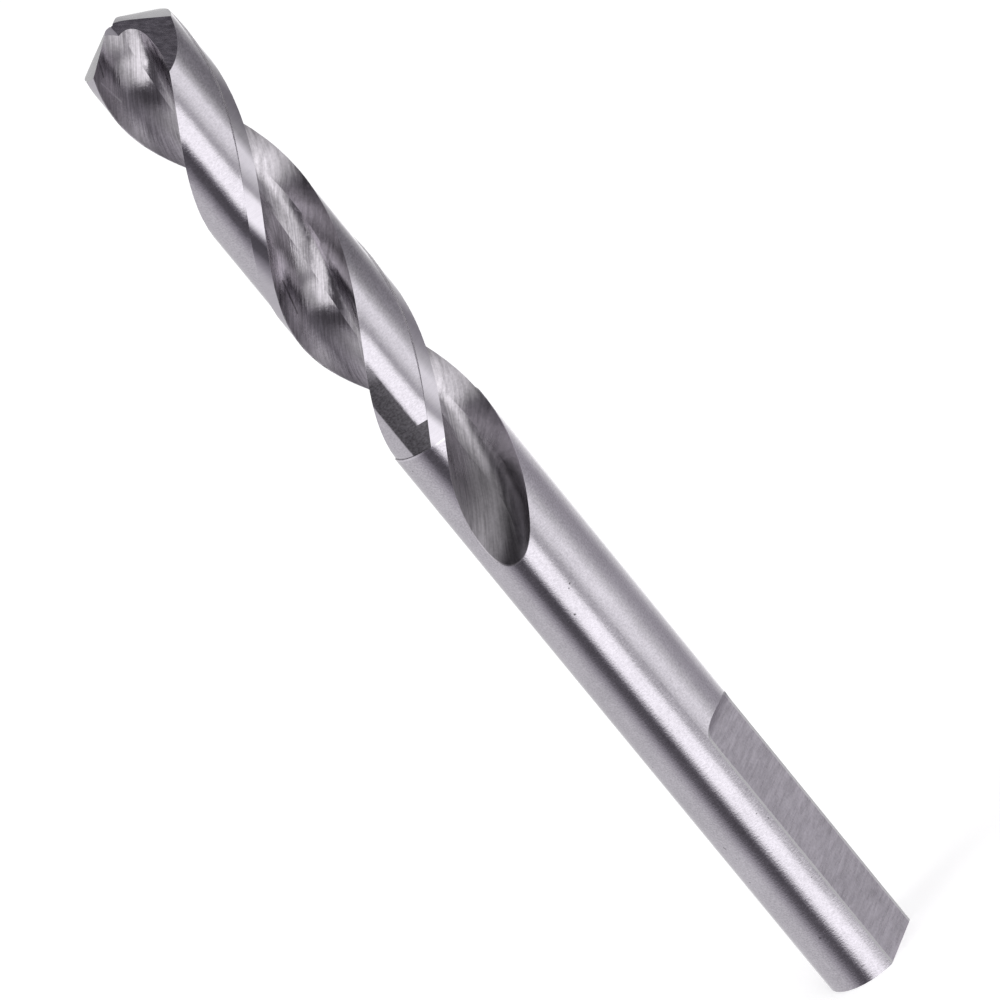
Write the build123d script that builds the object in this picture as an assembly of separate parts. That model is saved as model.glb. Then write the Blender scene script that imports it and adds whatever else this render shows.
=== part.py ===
from build123d import *
from math import asin, atan2, cos, degrees, hypot, pi, radians, sin, sqrt, tan
import os

# Pilot drill bit for a hole saw arbor, in millimetres.
# The origin is the middle of the shank end, +Z runs along the bit to the point,
# and the set-screw flat faces +X.

# Overall sizes
point_height = 72.58
cutting_diameter = 6.35
shank_diameter = 6.30

# Set-screw flat on the shank
flat_depth = 0.84
flat_length = 17.9
flat_end_radius = 1.4

# Flutes
flute_count = 2
helix_angle = 30.55
flute_length = 38.75
flute_mouth_angle = 96.0
web_thickness = 1.0
flute_bottom_radius = 1.25
run_out_radius = 15.2
run_out_lift_angle = 73.0
lip_corner_turn = 69.7

# Lands
margin_width = 1.0
body_clearance = 0.09
clearance_length = 30.0

# Point: two conical flanks, each with its lip, thinned by two splits
point_angle = 120.0
lip_relief = 4.0
flank_cone_angle = 140.0
flank_apex_out = 0.5
flank_side_turn = 69.0
split_depth = 0.25
split_facet_slope = 48.5
split_facet_turn = 107.8
split_wall_slope = 61.7
split_wall_turn = 58.9
split_wall_out = 0.06

# The cutters reach past the metal by this much, and the clearance past the heel by these degrees
overcut = 0.9
clearance_overlap = 32.0

# Sections of the flute's loft: degrees of turn between them along the helix, how many more
# there are in the run-out, and the points that carry each one's rake curve
section_step = 12.0
run_out_sections = 10
rake_points = 9

# Derived sizes
cutting_radius = cutting_diameter / 2
shank_radius = shank_diameter / 2
web_radius = web_thickness / 2
lead = pi * cutting_diameter / tan(radians(helix_angle))
point_slope = 1 / tan(radians(point_angle / 2))
lip_reach = sqrt(cutting_radius**2 - web_radius**2)
lip_lead_angle = degrees(asin(web_radius / cutting_radius))
flank_apex_z = point_height + split_depth
lip_corner_z = flank_apex_z - (lip_reach - flank_apex_out) * point_slope
lip_turn = lip_corner_turn - lip_lead_angle
land_turn = 360 / flute_count
blank_top = flank_apex_z + overcut
cutter_top = blank_top + overcut
clearance_end_z = point_height - clearance_length
flute_end_z = point_height - flute_length
flute_depth = cutting_radius - web_radius


def polar(radius, angle):
    return Vector(radius * cos(radians(angle)), radius * sin(radians(angle)))


def leading_edge_turn(z):
    """Turn of the leading edge at height z, in degrees from the flat."""
    return lip_corner_turn + 360 * (z - lip_corner_z) / lead


def rake_point(reach):
    """Section point of the rake face that meets the straight lip at this reach from the axis."""
    rise = (lip_reach - reach) * point_slope
    angle = degrees(atan2(web_radius, reach)) - lip_lead_angle - 360 * rise / lead
    return polar(hypot(reach, web_radius), angle)


def flute_section():
    """Closed outline of one flute's cutter across the bit, with the leading edge on local +X."""
    reaches = [(lip_reach + overcut) * (1 - i / (rake_points - 1)) for i in range(rake_points)]
    points = [rake_point(reach) for reach in reaches]
    bottom_angle = degrees(atan2(points[-1].Y, points[-1].X))
    rake = Spline(points, tangents=[points[1] - points[0], polar(1, bottom_angle + 90)])
    bottom_center = polar(web_radius + flute_bottom_radius, bottom_angle)
    heel_corner = polar(cutting_radius, flute_mouth_angle)
    way = bottom_center - heel_corner
    wall_angle = degrees(atan2(way.Y, way.X) - asin(flute_bottom_radius / way.length))
    bottom_sweep = wall_angle + 90 - bottom_angle
    bottom = CenterArc(bottom_center, flute_bottom_radius, bottom_angle + 180, bottom_sweep)
    wall_top = heel_corner - polar(overcut, wall_angle)
    wall = Line(bottom @ 1, wall_top)
    outside = polar(cutting_radius + 2 * overcut, flute_mouth_angle / 2)
    closing = ThreePointArc(wall_top, outside, rake @ 0)
    return Wire([rake, bottom, wall, closing])


def flute_stations():
    """Heights of the cutter's sections, with the lift of each out of the bit."""
    run = sqrt(run_out_radius**2 - (run_out_radius - flute_depth) ** 2)
    run_start_z = flute_end_z + run * cos(radians(helix_angle))
    exit_lift = flute_depth + overcut / 2
    exit_run = sqrt(run_out_radius**2 - (run_out_radius - exit_lift) ** 2)
    turns = 360 * (cutter_top - run_start_z) / lead
    full_steps = round(turns / section_step)
    step = (cutter_top - run_start_z) / full_steps
    stations = [(cutter_top - i * step, 0) for i in range(full_steps + 1)]
    for i in range(1, run_out_sections + 1):
        along = exit_run * i / run_out_sections
        lift = run_out_radius - sqrt(run_out_radius**2 - along**2)
        stations.append((run_start_z - along * cos(radians(helix_angle)), lift))
    return stations


def flute_cutter():
    """One helical flute, lifted out of the bit along a wheel radius at its shank end."""
    outline = flute_section()
    sections = []
    for z, lift in flute_stations():
        lifted = Pos(*(polar(lift, run_out_lift_angle))) * outline
        sections.append(Pos(0, 0, z) * Rot(0, 0, leading_edge_turn(z)) * lifted)
    return Solid.make_loft(sections)


def clearance_cutter():
    """Sector ring that relieves one land behind its margin."""
    margin_angle = degrees(margin_width / cutting_radius)
    land_angle = land_turn - flute_mouth_angle
    inner = cutting_radius - body_clearance
    outer = cutting_radius + overcut
    back = land_angle + clearance_overlap
    inner_arc = CenterArc((0, 0), inner, -back, back - margin_angle)
    outer_arc = CenterArc((0, 0), outer, -back, back - margin_angle)
    sides = [Line(inner_arc @ i, outer_arc @ i) for i in (0, 1)]
    sector = Face(Wire([inner_arc, outer_arc, *sides]))
    height = cutter_top - clearance_end_z
    base = (0, 0, clearance_end_z)
    placed = Pos(*base) * Rot(0, 0, leading_edge_turn(clearance_end_z)) * sector
    return Solid.extrude_linear_with_rotation(placed, base, (0, 0, height), 360 * height / lead)


def flank_cutter():
    """Space outside one land's conical flank, which holds the straight lip as one of its lines."""
    size = 4 * cutting_radius
    half = radians(flank_cone_angle / 2)
    with BuildSketch(Plane.XZ) as profile:
        Polygon((0, 0), (size * sin(half), -size * cos(half)), (size, size), (0, size), align=None)
    outside = Rot(0, flank_cone_angle / 2 - 90, 0) * Rot(0, 0, 180) * revolve(profile.sketch, Axis.Z)
    lip_way = Vector(1, 0, -point_slope).normalized()
    square_up = Vector(point_slope, 0, 1).normalized()
    facing = square_up * cos(radians(lip_relief)) - Vector(0, 1, 0) * sin(radians(lip_relief))
    apex = Vector(flank_apex_out, web_radius, flank_apex_z)
    above = Plane(origin=apex, x_dir=lip_way, z_dir=facing).location * outside
    side = Rot(0, 0, flank_side_turn) * Pos(0, -size, 0) * Box(2 * size, 2 * size, 4 * point_height)
    return Rot(0, 0, lip_turn) * (above & side)


def space_above(corner, slope, turn):
    """Large block over a plane through the corner that slopes down towards the turn."""
    size = 2 * cutting_radius
    normal = polar(sin(radians(slope)), turn) + Vector(0, 0, cos(radians(slope)))
    level = polar(1, turn + 90)
    block = Box(2 * size, 2 * size, size, align=(Align.CENTER, Align.CENTER, Align.MIN))
    return Plane(origin=corner, x_dir=level, z_dir=normal).location * block


def split_cutter():
    """Two-sided wheel cut that thins the web and leaves the heel facet and the inner lip."""
    facet_turn = lip_turn - split_facet_turn
    corner = Vector(0, 0, point_height) - polar(split_wall_out, facet_turn + 90)
    facet_side = space_above(corner, split_facet_slope, facet_turn)
    wall_side = space_above(corner, split_wall_slope, lip_turn - split_wall_turn)
    return facet_side & wall_side


def flat_cutter():
    """Set-screw flat, open at the shank end and closed by the wheel's corner radius."""
    face_x = shank_radius - flat_depth
    outside_x = shank_radius + flat_end_radius + overcut
    end_arc = CenterArc((face_x + flat_end_radius, flat_length), flat_end_radius, 180, -90)
    edges = [
        Line((face_x, -overcut), end_arc @ 0),
        end_arc,
        Line(end_arc @ 1, (outside_x, flat_length + flat_end_radius)),
        Line((outside_x, flat_length + flat_end_radius), (outside_x, -overcut)),
        Line((outside_x, -overcut), (face_x, -overcut)),
    ]
    profile = Plane.XZ.location * Face(Wire(edges))
    return extrude(profile, amount=shank_diameter, both=True)


def drill():
    upright = (Align.CENTER, Align.CENTER, Align.MIN)
    shank = Cylinder(shank_radius, clearance_end_z, align=upright)
    cutting_part = Cylinder(cutting_radius, blank_top - clearance_end_z, align=upright)
    bit = shank + Pos(0, 0, clearance_end_z) * cutting_part
    for cutter in (flute_cutter(), flank_cutter(), split_cutter(), clearance_cutter()):
        for i in range(flute_count):
            bit = bit - Rot(0, 0, i * land_turn) * cutter
    return bit - flat_cutter()


os.makedirs("parts", exist_ok=True)
bit = drill()
bit.label = "pilot_drill_bit"
export_step(bit, "parts/pilot_drill_bit.step")
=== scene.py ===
import math

import bpy
from mathutils import Matrix, Vector

# Pilot drill bit of bare ground steel, standing on its square shank end in a plain pale studio.
# Lengths are in metres in the CAD frame: +Z runs to the point and the set-screw flat faces +X.

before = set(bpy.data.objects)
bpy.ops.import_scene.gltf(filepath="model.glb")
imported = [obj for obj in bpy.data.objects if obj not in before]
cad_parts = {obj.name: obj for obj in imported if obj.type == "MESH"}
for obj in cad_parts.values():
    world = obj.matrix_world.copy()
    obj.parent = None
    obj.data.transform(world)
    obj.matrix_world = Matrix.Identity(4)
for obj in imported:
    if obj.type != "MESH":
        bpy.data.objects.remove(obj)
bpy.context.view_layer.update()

# The bit's own sizes below are in millimetres and its angles in degrees, as in the solid.
MM = 0.001

# Radii of the margins, the shank and the relieved lands
CUTTING_RADIUS = 3.175
SHANK_RADIUS = 3.15
LAND_RADIUS = 3.085

# The flat's distance from the axis, its upper end, the step at the lands' lower end, and a
# height that only the point's ground faces lie above
FLAT_X = 2.31
FLAT_END = 19.2
STEP_Z = 42.58
TIP_Z = 69.0

# The helix's rise in one turn, and the turn of a flute's bottom carried down to height 0
LEAD = 33.80
FLUTE_TURN = 91.9

# The split's facet and wall: how steeply each slopes, and towards which turn
LIP_TURN = 60.64
SPLIT_FACET = (48.5, LIP_TURN - 107.8)
SPLIT_WALL = (61.7, LIP_TURN - 58.9)

# Wheel marks in the flutes: the tilt of the wheel's plane from the axis, the length of a patch
# of marks, how many they are a millimetre into the depth, and the wheel's last height, below
# which all marks lie in its plane there
WHEEL_TILT = 35.0
MARK_LENGTH = 5.0
MARKS_DEEP = 0.35
LAST_WHEEL = 41.2

# The steel is duller in the run-out, and its painted highlight and shade across the flute change there,
# up to a height between these two
RUN_OUT = (38.5, 42.8)

# A painted highlight along the shank's upper edge, between these two heights
SHANK_EDGE_HIGHLIGHT = (42.44, 42.5)

# Painted shade on the lands and margins on the flat's side: how far out on +X and how high this begins
PAINTED_SHADE_REACH = (2.72, 2.95)
PAINTED_SHADE_HEIGHT = (42.5, 54.0)

# A painted dark reflection on one land, where the steel is also rougher: the two turns that it lies
# between, how far its edges wander and fade in degrees, the two heights that it fades out between, and
# the two below which it is wider by so many degrees, up to the land's margin
DARK_REFLECTION = (-99.5, -71.8)
DARK_REFLECTION_WANDER = 2.0
DARK_REFLECTION_FADE = 1.0
DARK_REFLECTION_TOP = (47.5, 49.0)
DARK_REFLECTION_FOOT = (43.9, 44.1)
DARK_REFLECTION_WIDENING = 40.0

# Painted highlight and shade across a flute, from the leading side over the bottom to the heel:
# pairs of the distance from the bottom and the brightness, along the flute and in the run-out.
# Towards the leading side the steel also gets rougher, between the two distances of ROUGH_EDGE.
FLUTE_HALF = 3.2
ALONG_FLUTE = [(-3.2, 0.8), (-1.9, 1.5), (-0.9, 0.8), (0.0, 1.05), (1.0, 0.85), (1.8, 0.5)]
IN_RUN_OUT = [(-3.2, 1.1), (-2.2, 0.8), (-1.2, 0.4), (0.0, 0.24), (1.0, 0.5), (1.8, 0.9)]
ROUGH_EDGE = (1.6, 2.6)

# Scratches: two ends, width and how much lighter or darker they are
SCRATCHES = [
    ((-0.47, -2.10, 55.30), (-1.35, -1.81, 53.06), 0.07, -0.6),
    ((-0.70, -2.12, 71.78), (-1.09, -2.16, 70.87), 0.07, -0.5),
    ((-1.28, -2.41, 70.69), (-1.67, -1.53, 68.94), 0.06, 0.5),
]

# A flute's corner gets a painted highlight between these two radii, and the flat's burr a painted
# highlight between the others, which wander so far
CORNER_HIGHLIGHT = (3.08, 3.14)
BURR_HIGHLIGHT = (2.98, 3.04)
BURR_HIGHLIGHT_WANDER = 0.06

# The shank is pitted where its noise rises from the first of these levels to the second
PITS = (0.775, 0.80)

# How far a corner of the mesh may lie off its surface and still belong to it, and the same for
# the low steps beside the lands
SAME = 0.004
NEAR = 0.03

# Two directions are the same above this product, and a face is a flank's above this upward share
SAME_WAY = 0.9998
FLANK_UPWARD = 0.78

# Camera: the photograph's place, aim and roll, found from the bit's outline and helix. The lens
# and its sensor are in millimetres, and the nearest and farthest that it sees in metres.
CAMERA_AZIMUTH = -54.25
CAMERA_REACH = 350.0
CAMERA_HEIGHT = 147.262
AIM_SIDE = 0.0466
AIM_HEIGHT = 36.594
CAMERA_ROLL = -39.2803
LENS = 228.98
SENSOR = 36.0
CLIP = (0.01, 10)

# The pale floor and the soft lamp over the bit, in metres and watts
FLOOR_HALF = 3.0
FLOOR_PAINT = 0.9
FLOOR_LIFT = 0.4
LAMP_PLACE = (-0.3, -0.5, 0.9)
LAMP_AIM = (0, 0, 0.03)
LAMP_SIDE = 0.5
LAMP_POWER = 3.0


def turned(x, y, z):
    """A point given with the camera on -Y, turned to the frame's own axes."""
    return Matrix.Rotation(math.radians(CAMERA_AZIMUTH + 90), 3, "Z") @ Vector((x, y, z)) * MM


def add_camera():
    place = turned(0, -CAMERA_REACH, CAMERA_HEIGHT)
    aim = turned(AIM_SIDE, 0, AIM_HEIGHT)
    forward = (aim - place).normalized()
    right = forward.cross(Vector((0, 0, 1))).normalized()
    up = right.cross(forward)
    roll = math.radians(CAMERA_ROLL)
    side = math.cos(roll) * right + math.sin(roll) * up
    top = -math.sin(roll) * right + math.cos(roll) * up
    data = bpy.data.cameras.new("camera")
    data.lens = LENS
    data.sensor_width = SENSOR
    data.clip_start, data.clip_end = CLIP
    camera = bpy.data.objects.new("camera", data)
    facing = Matrix((side, top, -forward)).transposed().to_4x4()
    camera.matrix_world = Matrix.Translation(place) @ facing
    bpy.context.scene.collection.objects.link(camera)
    bpy.context.scene.camera = camera


def grey(level):
    return (level, level, level, 1)


# Node helpers

class Nodes:
    """Short names for building a node tree."""

    def __init__(self, tree):
        self.tree = tree
        tree.nodes.clear()

    def add(self, kind, inputs=None, **settings):
        node = self.tree.nodes.new(kind)
        for name, value in settings.items():
            setattr(node, name, value)
        for name, value in (inputs or {}).items():
            self.put(node.inputs[name], value)
        return node

    def put(self, socket, value):
        if isinstance(value, bpy.types.NodeSocket):
            self.tree.links.new(value, socket)
        else:
            socket.default_value = value

    def math(self, operation, *values):
        node = self.add("ShaderNodeMath", operation=operation)
        for i, value in enumerate(values):
            self.put(node.inputs[i], value)
        return node.outputs[0]

    def ramp(self, value, stops, interpolation="LINEAR"):
        """Brightness by a value from 0 to 1, from a list of places with the level there."""
        node = self.add("ShaderNodeValToRGB", {"Fac": value})
        ramp = node.color_ramp
        ramp.interpolation = interpolation
        while len(ramp.elements) < len(stops):
            ramp.elements.new(0.5)
        for element, (place, level) in zip(ramp.elements, stops):
            element.position = place
            element.color = grey(level)
        return node.outputs["Color"]

    def ring(self, turn, places):
        """Brightness by the turn in radians, from a list of places in degrees."""
        turn = self.math("WRAP", turn, math.pi, -math.pi)
        share = self.math("MULTIPLY_ADD", turn, 0.5 / math.pi, 0.5)
        return self.ramp(share, [((angle + 180) / 360, level) for angle, level in places])

    def noise(self, vector, detail=2.0, roughness=0.6):
        inputs = {"Vector": vector, "Scale": 1.0, "Detail": detail, "Roughness": roughness}
        return self.add("ShaderNodeTexNoise", inputs).outputs["Fac"]

    def combine(self, x, y, z):
        return self.add("ShaderNodeCombineXYZ", {"X": x, "Y": y, "Z": z}).outputs[0]

    def step(self, value, low, high):
        """0 below low, 1 above high and a slope between."""
        inputs = {"Value": value, "From Min": low, "From Max": high}
        return self.add("ShaderNodeMapRange", inputs).outputs[0]

    def until(self, value, low, high):
        """1 below low, 0 above high and a slope between."""
        return self.math("SUBTRACT", 1.0, self.step(value, low, high))

    def mix(self, factor, a, b, blend="MIX"):
        """Mix two colours, which have their own sockets on the node."""
        node = self.add("ShaderNodeMix", data_type="RGBA", blend_type=blend)
        self.put(node.inputs[0], factor)
        self.put(node.inputs[6], a)
        self.put(node.inputs[7], b)
        return node.outputs[2]


# Studio: rings of light cards round the bit, one above another. Each ring is a list of
# places in degrees with the brightness there: 0 is the photographer's side of the bit, and the
# angle grows anticlockwise as seen from above. Heights are the upward share of the direction,
# and each pair of them is a soft border between two rings.
MIDDLE_RING = [
    (-180, 1.30), (-162, 0.74), (-150, 0.66), (-100, 0.69), (-86, 0.58), (-72, 0.32),
    (-62, 0.12), (-46, 0.09), (-39, 0.26), (-31, 1.10), (-26, 1.42), (-2, 1.38), (5, 0.92),
    (9, 0.58), (15, 0.56), (24, 0.80), (34, 1.02), (50, 1.08), (66, 0.78), (82, 0.52),
    (104, 0.40), (118, 0.42), (134, 0.66), (152, 0.86), (168, 1.25), (180, 1.30),
]
UPPER_RING = [
    (-180, 0.80), (-120, 0.60), (-90, 0.25), (-60, 0.12), (-32, 0.12), (-20, 0.32),
    (-10, 0.80), (0, 1.40), (15, 1.90), (45, 1.60), (66, 1.10), (100, 0.80), (140, 0.65), (180, 0.80),
]
OVERHEAD_RING = [(-180, 0.60), (-90, 0.20), (0, 0.13), (60, 0.13), (120, 0.30), (180, 0.60)]
LOWER_RING = [(-180, 0.55), (-110, 0.30), (-40, 0.75), (0, 0.45), (50, 0.80), (120, 0.30), (180, 0.55)]
LOWER_TOP = (-0.93, -0.82)
DARK_LEVEL = 0.14
DARK_TOP = (-0.78, -0.42)
UPPER_FROM = (0.08, 0.24)
OVERHEAD_FROM = (0.66, 0.90)

# The dimmer the card, the stronger its lilac tint
TINT = (1.035, 0.985, 1.09)
TINTED_TO = (0.1, 0.7)

# Outside its upright part the cards of the middle ring lean: their places shift this far
# with each unit of height
LEAN = 2.0
UPRIGHT = (-0.342, -0.208)


def add_world():
    world = bpy.data.worlds.new("studio")
    bpy.context.scene.world = world
    world.use_nodes = True
    n = Nodes(world.node_tree)
    direction = n.add("ShaderNodeSeparateXYZ", {0: n.add("ShaderNodeTexCoord").outputs["Generated"]})
    height = direction.outputs[2]
    azimuth = n.math("ARCTAN2", direction.outputs[1], direction.outputs[0])
    turn = n.math("SUBTRACT", azimuth, math.radians(CAMERA_AZIMUTH))
    upright = n.add("ShaderNodeClamp", {"Value": height, "Min": UPRIGHT[0], "Max": UPRIGHT[1]}).outputs[0]
    lean = n.math("MULTIPLY", n.math("SUBTRACT", height, upright), LEAN)
    middle = n.ring(n.math("ADD", turn, lean), MIDDLE_RING)
    light = n.mix(n.step(height, *LOWER_TOP), n.ring(turn, LOWER_RING), grey(DARK_LEVEL))
    light = n.mix(n.step(height, *DARK_TOP), light, middle)
    light = n.mix(n.step(height, *UPPER_FROM), light, n.ring(turn, UPPER_RING))
    light = n.mix(n.step(height, *OVERHEAD_FROM), light, n.ring(turn, OVERHEAD_RING))
    tint = n.mix(n.step(light, *TINTED_TO), (*TINT, 1), grey(1))
    colour = n.mix(1.0, light, tint, "MULTIPLY")
    background = n.add("ShaderNodeBackground", {"Color": colour, "Strength": 1.0})
    n.add("ShaderNodeOutputWorld", {"Surface": background.outputs[0]})


def add_floor():
    """Pale floor. The steel mirrors the cards all round it and not the floor."""
    mesh = bpy.data.meshes.new("floor")
    corners = [(x * FLOOR_HALF, y * FLOOR_HALF, 0) for x, y in ((-1, -1), (1, -1), (1, 1), (-1, 1))]
    mesh.from_pydata(corners, [], [(0, 1, 2, 3)])
    floor = bpy.data.objects.new("floor", mesh)
    bpy.context.scene.collection.objects.link(floor)
    floor.visible_glossy = False
    material = bpy.data.materials.new("pale_floor")
    material.use_nodes = True
    n = Nodes(material.node_tree)
    paint = n.add("ShaderNodeBsdfDiffuse", {"Color": grey(FLOOR_PAINT)})
    path = n.add("ShaderNodeLightPath").outputs
    seen = n.math("MAXIMUM", path["Is Camera Ray"], path["Is Glossy Ray"])
    seen = n.math("MAXIMUM", seen, path["Is Transmission Ray"])
    lift = n.math("MULTIPLY", seen, FLOOR_LIFT)
    glow = n.add("ShaderNodeEmission", {"Color": grey(1), "Strength": lift})
    both = n.add("ShaderNodeAddShader", {0: paint.outputs[0], 1: glow.outputs[0]})
    n.add("ShaderNodeOutputMaterial", {"Surface": both.outputs[0]})
    mesh.materials.append(material)


def add_lamp():
    """Soft lamp that gives the floor its shadow. The steel doesn't mirror it."""
    data = bpy.data.lights.new("key", "AREA")
    data.size = LAMP_SIDE
    data.energy = LAMP_POWER
    lamp = bpy.data.objects.new("key", data)
    lamp.location = LAMP_PLACE
    way = Vector(LAMP_PLACE) - Vector(LAMP_AIM)
    lamp.rotation_euler = way.to_track_quat("Z", "Y").to_euler()
    lamp.visible_glossy = False
    bpy.context.scene.collection.objects.link(lamp)


# Steel, region by region. Each ground surface shows the marks of its own wheel. In the materials
# the numbers before the marks are their weights, and a depth is in millimetres.

class Steel(Nodes):
    """A steel material with the bit's own coordinates, in millimetres, ready to use."""

    def __init__(self, name):
        self.material = bpy.data.materials.new(name)
        self.material.use_nodes = True
        super().__init__(self.material.node_tree)
        place = self.add("ShaderNodeTexCoord").outputs["Object"]
        self.place = self.scaled(place, (1 / MM, 1 / MM, 1 / MM))
        self.xyz = self.add("ShaderNodeSeparateXYZ", {0: self.place}).outputs

    def vector(self, operation, *values):
        node = self.add("ShaderNodeVectorMath", dict(enumerate(values)), operation=operation)
        return node.outputs[0]

    def scaled(self, vector, factors):
        return self.vector("MULTIPLY", vector, factors)

    def part(self, vector, axis):
        """One coordinate of a vector: 0, 1 or 2."""
        return self.add("ShaderNodeSeparateXYZ", {0: vector}).outputs[axis]

    def radius(self):
        """Distance from the bit's axis."""
        squares = [self.math("MULTIPLY", self.xyz[axis], self.xyz[axis]) for axis in (0, 1)]
        return self.math("SQRT", self.math("ADD", *squares))

    def turned(self, vector, angle, axis="Z_AXIS"):
        inputs = {"Vector": vector, "Angle": angle}
        return self.add("ShaderNodeVectorRotate", inputs, rotation_type=axis).outputs[0]

    def flute_turn(self, height):
        """Turn of the flute's bottom at this height, in radians."""
        return self.math("MULTIPLY_ADD", height, 2 * math.pi / LEAD, math.radians(FLUTE_TURN))

    def facing_flute(self, height):
        """The place, turned so that the flute's bottom at this height faces +X."""
        return self.turned(self.place, self.math("MULTIPLY", self.flute_turn(height), -1.0))

    def grain(self, marks, detail=2.0):
        """Noise centred on zero, with so many marks a millimetre in each direction."""
        noise = self.noise(self.scaled(self.place, marks), detail)
        return self.math("SUBTRACT", noise, 0.5)

    def mirrored(self, vector):
        """The vector turned by half a turn on the second flute's side."""
        side = self.math("SIGN", self.part(self.facing_flute(self.xyz[2]), 0))
        return self.vector("MULTIPLY", vector, self.combine(side, side, 1.0))

    def wheel_marks(self, across, along, detail=2.0):
        """Marks in the plane of the flute's grinding wheel, which turns with the helix.

        Straight marks can't follow a turning plane far, so two runs of patches take over
        from each other."""
        runs = []
        for offset in (0.0, 0.5):
            place = self.math("MULTIPLY_ADD", self.xyz[2], 1 / MARK_LENGTH, offset)
            patch = self.math("FLOOR", place)
            middle = self.math("SUBTRACT", self.math("ADD", patch, 0.5), offset)
            middle = self.math("MAXIMUM", self.math("MULTIPLY", middle, MARK_LENGTH), LAST_WHEEL)
            facing = self.mirrored(self.facing_flute(middle))
            plane = self.turned(facing, math.radians(WHEEL_TILT), "X_AXIS")
            marks = self.scaled(plane, (MARKS_DEEP, across, along))
            shifted = self.vector("ADD", marks, self.combine(patch, offset, 0.0))
            marks = self.math("SUBTRACT", self.noise(shifted, detail), 0.5)
            off_middle = self.math("MULTIPLY_ADD", self.math("FRACT", place), 2.0, -1.0)
            weight = self.math("SUBTRACT", 1.0, self.math("ABSOLUTE", off_middle))
            runs.append(self.math("MULTIPLY", marks, self.math("SQRT", weight)))
        return self.math("ADD", *runs)

    def flute_side(self):
        """Distance from the plane through the axis and the flute's bottom."""
        return self.part(self.mirrored(self.facing_flute(self.xyz[2])), 1)

    def across_flute(self, side, pairs):
        """Painted highlight and shade at this distance from the flute's bottom, from a list of pairs."""
        share = self.math("MULTIPLY_ADD", side, 0.5 / FLUTE_HALF, 0.5)
        stops = [(0.5 + 0.5 * place / FLUTE_HALF, level) for place, level in pairs]
        return self.ramp(share, stops, "EASE")

    def across_marks(self):
        """Direction on the surface across the flute's wheel marks."""
        angle = math.radians(WHEEL_TILT)
        sideways = self.mirrored(self.combine(0.0, math.cos(angle), -math.sin(angle)))
        return self.turned(sideways, self.flute_turn(self.math("MAXIMUM", self.xyz[2], LAST_WHEEL)))

    def painted_shade_side(self):
        """1 where the lands and margins get painted shade, on the flat's side, 0 elsewhere."""
        reach = self.step(self.xyz[0], *PAINTED_SHADE_REACH)
        return self.math("MULTIPLY", reach, self.step(self.xyz[2], *PAINTED_SHADE_HEIGHT))

    def painted_dark_reflection(self):
        """1 on the painted dark reflection at the lower end of one land, 0 elsewhere."""
        turn = self.math("ARCTAN2", self.xyz[1], self.xyz[0])
        turn = self.math("MULTIPLY", turn, math.degrees(1))
        ragged = self.math("MULTIPLY_ADD", self.grain((2, 2, 2)), DARK_REFLECTION_WANDER, turn)
        after = self.step(ragged, DARK_REFLECTION[0] - DARK_REFLECTION_FADE, DARK_REFLECTION[0] + DARK_REFLECTION_FADE)
        foot = self.until(self.xyz[2], *DARK_REFLECTION_FOOT)
        widened = self.math("MULTIPLY_ADD", foot, -DARK_REFLECTION_WIDENING, ragged)
        before = self.until(widened, DARK_REFLECTION[1] - DARK_REFLECTION_FADE, DARK_REFLECTION[1] + DARK_REFLECTION_FADE)
        below = self.until(self.xyz[2], *DARK_REFLECTION_TOP)
        return self.math("MULTIPLY", self.math("MULTIPLY", after, before), below)

    def scratch(self, start, end, width):
        """1 on a thin straight scratch between two points, 0 elsewhere."""
        way = Vector(end) - Vector(start)
        from_start = self.vector("SUBTRACT", self.place, start)
        inputs = {0: from_start, 1: tuple(way / way.length_squared)}
        along = self.add("ShaderNodeVectorMath", inputs, operation="DOT_PRODUCT").outputs["Value"]
        kept = self.add("ShaderNodeClamp", {"Value": along}).outputs[0]
        foot = self.vector("MULTIPLY", tuple(way), self.combine(kept, kept, kept))
        inputs = {0: from_start, 1: foot}
        off = self.add("ShaderNodeVectorMath", inputs, operation="DISTANCE").outputs["Value"]
        return self.until(off, width / 2, width)

    def weigh(self, base, *parts):
        """A base value with weighted parts added to it."""
        total = base
        for weight, part in parts:
            total = self.math("MULTIPLY_ADD", part, weight, total)
        return total

    def finish(self, colour, brightness, roughness, height, depth, gloss_across=None):
        """Join the shader: colour times brightness, marks this deep in millimetres, and gloss
        that spreads across the marks where their direction is given."""
        brightness = self.combine(brightness, brightness, brightness)
        tone = self.mix(1.0, (*colour, 1), brightness, "MULTIPLY")
        bump = self.add("ShaderNodeBump", {"Height": height, "Distance": depth * MM, "Strength": 1.0})
        shader = self.add("ShaderNodeBsdfPrincipled", {
            "Base Color": tone, "Metallic": 1.0, "Roughness": roughness, "Normal": bump.outputs[0]})
        if gloss_across:
            self.put(shader.inputs["Anisotropic"], 0.5)
            self.put(shader.inputs["Tangent"], gloss_across)
        self.add("ShaderNodeOutputMaterial", {"Surface": shader.outputs[0]})
        return self.material


# Colour of each ground surface's steel: one steel at different levels, where the darker flute and split
# steel are painted shade
STEEL = (0.625, 0.595, 0.65)
FLUTE_STEEL = (0.50, 0.475, 0.51)
FLANK_STEEL = (0.52, 0.51, 0.53)
SPLIT_STEEL = (0.33, 0.31, 0.35)
STEP_STEEL = (0.62, 0.61, 0.62)
FLAT_STEEL = (0.72, 0.685, 0.74)


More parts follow.
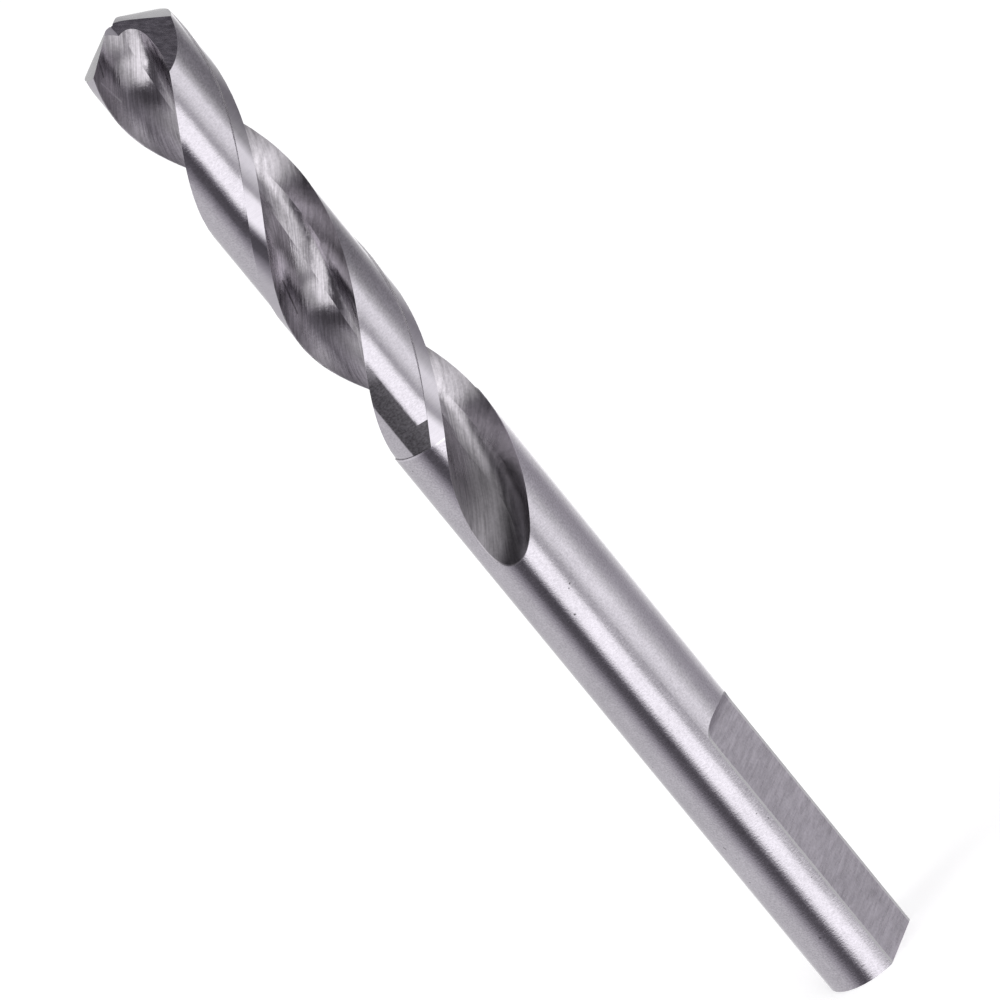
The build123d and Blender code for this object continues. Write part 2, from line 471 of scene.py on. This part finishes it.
def shank_steel():
    s = Steel("shank_steel")
    speckle = s.grain((7, 7, 10), detail=3.0)
    rings = s.grain((0.8, 0.8, 8))
    clouds = s.grain((0.4, 0.4, 0.2))
    pits = s.noise(s.scaled(s.place, (2.6, 2.6, 2.6)), detail=1.0, roughness=0.5)
    # painted highlight along the shank's upper edge
    painted_edge_highlight = s.step(s.xyz[2], *SHANK_EDGE_HIGHLIGHT)
    pitted = s.step(pits, *PITS)
    tone = s.weigh(1.0, (0.8, speckle), (0.12, rings), (0.35, clouds), (-0.6, pitted), (0.3, painted_edge_highlight))
    rough = s.weigh(0.11, (0.15, speckle), (0.1, clouds))
    height = s.weigh(0.5, (1.0, speckle), (0.4, rings))
    return s.finish(STEEL, tone, rough, height, depth=0.005)


def land_steel():
    s = Steel("land_steel")
    speckle = s.grain((6, 6, 10), detail=3.0)
    rings = s.grain((1.2, 1.2, 10))
    # painted dark reflection on one land, where the steel is also rougher
    painted_dark_reflection = s.painted_dark_reflection()
    # painted shade on the lands on the flat's side
    tone = s.weigh(1.0, (0.6, speckle), (0.15, rings), (-0.42, s.painted_shade_side()), (-0.70, painted_dark_reflection))
    rough = s.weigh(0.08, (0.12, speckle), (0.47, painted_dark_reflection))
    height = s.weigh(0.5, (1.0, speckle), (0.5, rings))
    return s.finish(STEEL, tone, rough, height, depth=0.004)


def margin_steel():
    s = Steel("margin_steel")
    rings = s.grain((1.2, 1.2, 10))
    # painted shade on the margins on the flat's side
    tone = s.weigh(1.0, (0.2, rings), (-0.42, s.painted_shade_side()))
    rough = s.weigh(0.08, (0.1, rings))
    return s.finish(STEEL, tone, rough, s.weigh(0.5, (1.0, rings)), depth=0.003)


def step_steel():
    """The low steps beside and below the lands."""
    s = Steel("step_steel")
    speckle = s.grain((6, 6, 6))
    tone = s.weigh(1.0, (0.3, speckle))
    rough = s.weigh(0.6, (0.2, speckle))
    return s.finish(STEP_STEEL, tone, rough, speckle, depth=0.002)


def flute_steel():
    s = Steel("flute_steel")
    fine = s.wheel_marks(across=11, along=0.5, detail=3.0)
    broad = s.wheel_marks(across=2.2, along=0.3)
    speckle = s.grain((6, 6, 6), detail=3.0)
    # painted highlight along the flute's corners
    painted_corner_highlight = s.step(s.radius(), *CORNER_HIGHLIGHT)
    scratches = [(weight, s.scratch(start, end, width)) for start, end, width, weight in SCRATCHES]
    run_out = s.step(s.xyz[2], *RUN_OUT)
    side = s.flute_side()
    rim = s.step(s.math("MULTIPLY", side, -1.0), *ROUGH_EDGE)
    # painted highlight and shade across the flute
    painted_light_across = s.mix(run_out, s.across_flute(side, IN_RUN_OUT), s.across_flute(side, ALONG_FLUTE))
    tone = s.weigh(1.0, (1.3, fine), (0.4, broad), (0.5, speckle), *scratches)
    tone = s.weigh(s.math("MULTIPLY", tone, painted_light_across), (0.8, painted_corner_highlight))
    rough = s.weigh(0.33, (-0.20, run_out), (0.2, fine), (0.1, broad), (0.2, rim))
    height = s.weigh(0.5, (1.0, fine), (0.5, speckle))
    return s.finish(FLUTE_STEEL, tone, rough, height, depth=0.006, gloss_across=s.across_marks())


def flank_steel():
    s = Steel("flank_steel")
    marks = s.grain((2, 7, 2))
    speckle = s.grain((6, 6, 6), detail=3.0)
    tone = s.weigh(1.0, (0.3, marks), (0.5, speckle))
    rough = s.weigh(0.25, (0.3, speckle))
    return s.finish(FLANK_STEEL, tone, rough, s.weigh(0.5, (1.0, marks)), depth=0.008)


def split_steel():
    s = Steel("split_steel")
    marks = s.grain((1.2, 7, 3))
    clouds = s.grain((0.8, 0.8, 0.8))
    tone = s.weigh(1.0, (0.4, marks), (0.5, clouds))
    rough = s.weigh(0.25, (0.3, marks))
    return s.finish(SPLIT_STEEL, tone, rough, s.weigh(0.5, (1.0, marks)), depth=0.006)


def flat_steel():
    """The flat, ground across the bit, with a painted highlight along its two edges, where a burr catches
    the light.
    """
    s = Steel("flat_steel")
    marks = s.grain((0.7, 0.7, 5))
    wide = s.grain((0.5, 0.5, 2))
    speckle = s.grain((6, 6, 6), detail=3.0)
    clouds = s.grain((0.5, 0.5, 0.3))
    ragged = s.math("MULTIPLY_ADD", s.grain((0.0, 0.0, 1.5)), BURR_HIGHLIGHT_WANDER, s.radius())
    # painted highlight along the flat's edges, where a burr catches the light
    painted_burr_highlight = s.step(ragged, *BURR_HIGHLIGHT)
    tone = s.weigh(1.0, (0.6, marks), (0.4, wide), (0.5, speckle), (0.3, clouds), (0.9, painted_burr_highlight))
    rough = s.weigh(0.3, (0.2, marks))
    height = s.weigh(0.5, (1.0, marks), (0.7, wide), (0.5, speckle))
    return s.finish(FLAT_STEEL, tone, rough, height, depth=0.008)


# Regions of the one solid, told apart by their place and direction. The numbers are those of
# the materials in their order.
MATERIALS = [
    shank_steel, land_steel, margin_steel, flute_steel, flank_steel, split_steel, flat_steel, step_steel,
]
SHANK, LAND, MARGIN, FLUTE, FLANK, SPLIT, FLAT, STEP = range(len(MATERIALS))


def slope_normal(slope, turn):
    """Outward normal of a facet that slopes down this steeply towards this turn."""
    slope, turn = math.radians(slope), math.radians(turn)
    across = math.sin(slope)
    return Vector((across * math.cos(turn), across * math.sin(turn), math.cos(slope)))


SPLIT_NORMALS = [
    slope_normal(slope, turn + half) for slope, turn in (SPLIT_FACET, SPLIT_WALL) for half in (0, 180)
]


def region_of(face, vertices):
    """The material's number for one face of the mesh."""
    points = [vertices[i].co / MM for i in face.vertices]
    reaches = [math.hypot(point.x, point.y) for point in points]
    height = sum(point.z for point in points) / len(points)

    def all_at(radius):
        return all(abs(reach - radius) < SAME for reach in reaches)

    on_flat = face.normal.x > SAME_WAY or face.normal.z < -SAME
    if on_flat and SAME < height < FLAT_END and all(point.x > FLAT_X - SAME for point in points):
        return FLAT
    if height < SAME or all_at(SHANK_RADIUS) and height < STEP_Z:
        return SHANK
    if all_at(CUTTING_RADIUS):
        return MARGIN
    if all_at(LAND_RADIUS):
        return LAND
    if height > STEP_Z - SAME and min(reaches) > LAND_RADIUS - NEAR:
        return STEP
    if height > TIP_Z and face.normal.z > FLANK_UPWARD:
        return FLANK
    if height > TIP_Z and any(face.normal.dot(facet) > SAME_WAY for facet in SPLIT_NORMALS):
        return SPLIT
    return FLUTE


add_camera()
add_world()
add_floor()
add_lamp()

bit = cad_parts["pilot_drill_bit"]
bit.data.materials.clear()
for make in MATERIALS:
    bit.data.materials.append(make())
for face in bit.data.polygons:
    face.material_index = region_of(face, bit.data.vertices)

view = bpy.context.scene.view_settings
view.view_transform = "Standard"
